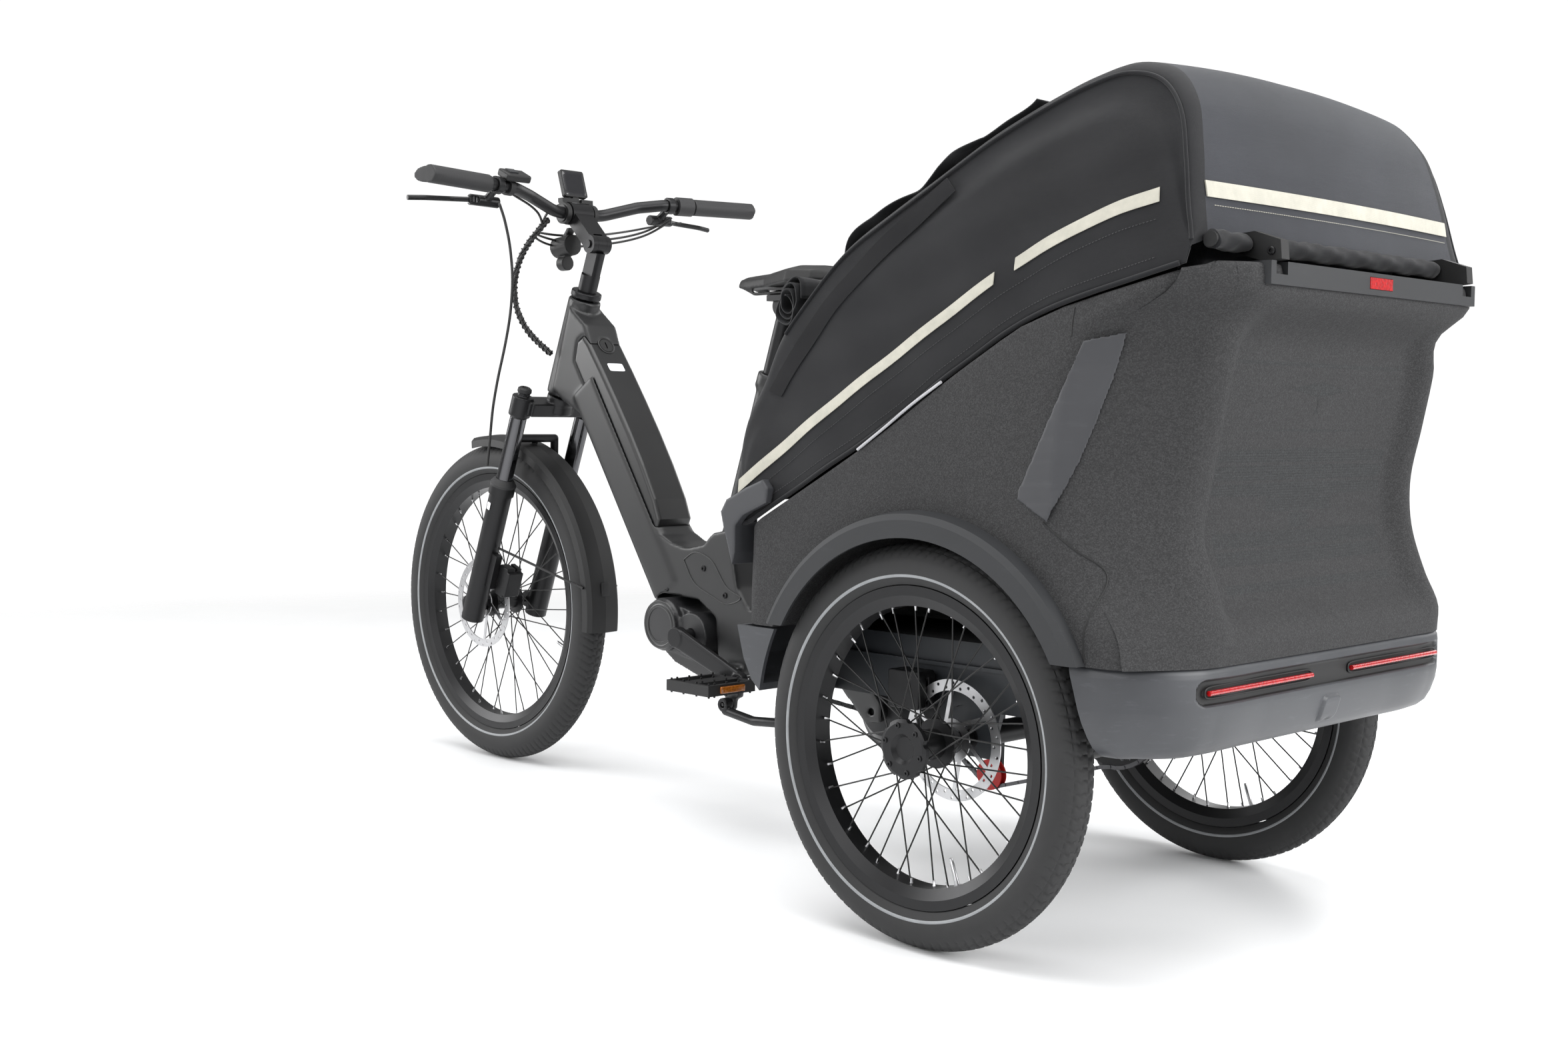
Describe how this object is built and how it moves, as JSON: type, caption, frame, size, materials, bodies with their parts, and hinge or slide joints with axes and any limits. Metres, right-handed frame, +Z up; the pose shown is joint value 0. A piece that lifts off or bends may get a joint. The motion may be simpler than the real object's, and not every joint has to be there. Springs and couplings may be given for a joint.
{
  "type": "cargo tricycle",
  "caption": "Three-wheeled electric cargo cycle: leaning front frame, low step-through, and a rear tub for children under a sloping fabric hood.",
  "frame": {"origin": "on the ground, at the middle of the whole machine", "axes": "+X forwards, +Y to the rider's left, +Z up"},
  "size_m": [2.2085, 0.802, 1.1611],
  "materials": {
    "frame_black": "matte black paint",
    "cover_black": "satin black",
    "foam": "moulded bead foam, fine granules",
    "grey_plastic": "smooth moulded plastic",
    "black_plastic": "moulded plastic",
    "hood_fabric": "coated woven fabric",
    "seat_fabric": "woven upholstery",
    "red_lens": "reflector lens",
    "tyre": "rubber",
    "rubber": "rubber",
    "rim_black": "black anodised",
    "black_alloy": "black anodised",
    "steel": "brushed",
    "dark_steel": "black coated",
    "screen": "gloss",
    "red_plastic": "moulded plastic"
  },
  "bodies": {
    "rear_chassis": {"chassis_frame": "frame_black", "cargo_box": "foam", "bench_pads": "seat_fabric", "wheel_arches": "grey_plastic", "grab_trims": "grey_plastic", "rear_trim_strip": "grey_plastic", "red_lenses": "red_lens", "rear_bumper": "grey_plastic", "side_skirts": "grey_plastic", "rear_axle": "black_alloy", "rear_calipers": "black_alloy"},
    "tensioner": {"tensioner_roller": "red_plastic"},
    "wheel_rear_left": {"tyre_rear_left": "tyre", "rim_rear_left": "rim_black", "spokes_rear_left": "dark_steel", "hub_rear_left": "black_alloy", "rotor_rear_left": "steel"},
    "wheel_rear_right": {"tyre_rear_right": "tyre", "rim_rear_right": "rim_black", "spokes_rear_right": "dark_steel", "hub_rear_right": "black_alloy", "rotor_rear_right": "steel"},
    "hood": {"canopy_cover": "hood_fabric", "canopy_frame": "black_plastic"},
    "front_frame": {"main_frame": "frame_black", "battery": "cover_black", "drive_unit": "cover_black", "drive_chain": "dark_steel"},
    "lock": {"lock_cap": "black_plastic"},
    "stand": {"kickstand": "black_alloy"},
    "crankset": {"cranks": "black_alloy"},
    "pedal_l": {"pedal_left": "black_plastic"},
    "pedal_r": {"pedal_right": "black_plastic"},
    "geared_hub": {"gear_hub": "black_alloy"},
    "seat": {"seat_post": "black_alloy", "saddle": "black_plastic"},
    "steering": {"fork_upper": "black_alloy", "stem_base": "black_alloy", "brake_hose": "rubber", "cable_bundle": "rubber"},
    "bars": {"stem_head": "black_alloy", "handlebar": "black_alloy", "grips": "rubber", "headlight": "black_plastic", "brake_masters": "black_alloy", "remote_body": "black_plastic", "display_mount": "black_plastic"},
    "screen": {"display": "screen"},
    "shifter": {"twist_shifter": "rubber"},
    "lever_left": {"brake_lever_left": "black_alloy"},
    "lever_right": {"brake_lever_right": "black_alloy"},
    "button": {"remote_button": "black_plastic"},
    "fork_slider": {"fork_lowers": "black_alloy", "front_mudguard": "black_plastic", "front_caliper": "black_alloy"},
    "wheel_front": {"tyre_front": "tyre", "rim_front": "rim_black", "spokes_front": "dark_steel", "hub_front": "black_alloy", "rotor_front": "steel"}
  },
  "joints": [
    {"name": "wheel_rear_left_spin", "type": "hinge", "parent": "rear_chassis", "child": "wheel_rear_left", "pos_m": [-0.658, 0.3505, 0.265], "axis": [0, 1, 0], "continuous": true},
    {"name": "wheel_rear_right_spin", "type": "hinge", "parent": "rear_chassis", "child": "wheel_rear_right", "pos_m": [-0.658, -0.3505, 0.265], "axis": [0, 1, 0], "continuous": true},
    {"name": "tensioner_spin", "type": "hinge", "parent": "rear_chassis", "child": "tensioner", "pos_m": [-0.432, -0.068, 0.137], "axis": [0, 1, 0], "continuous": true},
    {"name": "hood_hinge", "type": "hinge", "parent": "rear_chassis", "child": "hood", "pos_m": [-1.084, 0, 0.8645], "axis": [0, -1, 0], "range_deg": [0, 68]},
    {"name": "frame_lean", "type": "hinge", "parent": "rear_chassis", "child": "front_frame", "pos_m": [-0.45, 0, 0.352], "axis": [1, 0, 0], "range_deg": [-15, 15], "stiffness_Nm_per_rad": 400},
    {"name": "lock_turn", "type": "hinge", "parent": "front_frame", "child": "lock", "pos_m": [0.45638, 0, 0.8231], "axis": [-0.832, 0, 0.5548], "range_deg": [0, 90]},
    {"name": "stand_swing", "type": "hinge", "parent": "front_frame", "child": "stand", "pos_m": [0.043, 0.0645, 0.203], "axis": [0, -1, 0], "range_deg": [0, 70]},
    {"name": "crank_spin", "type": "hinge", "parent": "front_frame", "child": "crankset", "pos_m": [0.142, 0, 0.311], "axis": [0, 1, 0], "continuous": true},
    {"name": "pedal_left_spin", "type": "hinge", "parent": "crankset", "child": "pedal_l", "pos_m": [-0.01963, 0.15, 0.25217], "axis": [0, 1, 0], "continuous": true},
    {"name": "pedal_right_spin", "type": "hinge", "parent": "crankset", "child": "pedal_r", "pos_m": [0.30363, -0.15, 0.36983], "axis": [0, 1, 0], "continuous": true},
    {"name": "gear_hub_spin", "type": "hinge", "parent": "front_frame", "child": "geared_hub", "pos_m": [-0.314, 0, 0.237], "axis": [0, 1, 0], "continuous": true},
    {"name": "seat_height", "type": "slide", "parent": "front_frame", "child": "seat", "axis": [-0.3256, 0, 0.9455], "range_m": [-0.1, 0.08]},
    {"name": "steer", "type": "hinge", "parent": "front_frame", "child": "steering", "pos_m": [0.517, 0, 0.917], "axis": [-0.3688, 0, 0.9295], "range_deg": [-50, 50], "deforming": ["cable_bundle"]},
    {"name": "fork_travel", "type": "slide", "parent": "steering", "child": "fork_slider", "axis": [-0.3688, 0, 0.9295], "range_m": [0, 0.08], "stiffness_N_per_m": 9000, "springref_m": -0.03, "deforming": ["brake_hose"]},
    {"name": "wheel_front_spin", "type": "hinge", "parent": "fork_slider", "child": "wheel_front", "pos_m": [0.79, 0, 0.3185], "axis": [0, 1, 0], "continuous": true},
    {"name": "stem_angle", "type": "hinge", "parent": "steering", "child": "bars", "pos_m": [0.48, 0, 1.015], "axis": [0, 1, 0], "range_deg": [-20, 17], "deforming": ["cable_bundle", "brake_hose"]},
    {"name": "screen_tilt", "type": "hinge", "parent": "bars", "child": "screen", "pos_m": [0.549, 0, 1.102], "axis": [0, 1, 0], "range_deg": [-20, 20]},
    {"name": "shifter_twist", "type": "hinge", "parent": "bars", "child": "shifter", "pos_m": [0.4892, -0.2273, 1.1058], "axis": [-0.1585, -0.9872, 0.0144], "range_deg": [-60, 60]},
    {"name": "lever_left_pull", "type": "hinge", "parent": "bars", "child": "lever_left", "pos_m": [0.52752, 0.24708, 1.08068], "axis": [0, 0, 1], "range_deg": [0, 18], "stiffness_Nm_per_rad": 2, "springref_deg": -17.19},
    {"name": "lever_right_pull", "type": "hinge", "parent": "bars", "child": "lever_right", "pos_m": [0.53236, -0.21694, 1.08024], "axis": [0, 0, -1], "range_deg": [0, 18], "stiffness_Nm_per_rad": 2, "springref_deg": -17.19},
    {"name": "button_press", "type": "slide", "parent": "bars", "child": "button", "axis": [0.4226, 0, -0.9063], "range_m": [0, 0.0012], "stiffness_N_per_m": 1500, "springref_m": -0.001}
  ],
  "couplings": [
    {"joint": "gear_hub_spin", "follows": "crank_spin", "ratio": 1.7273}
  ]
}
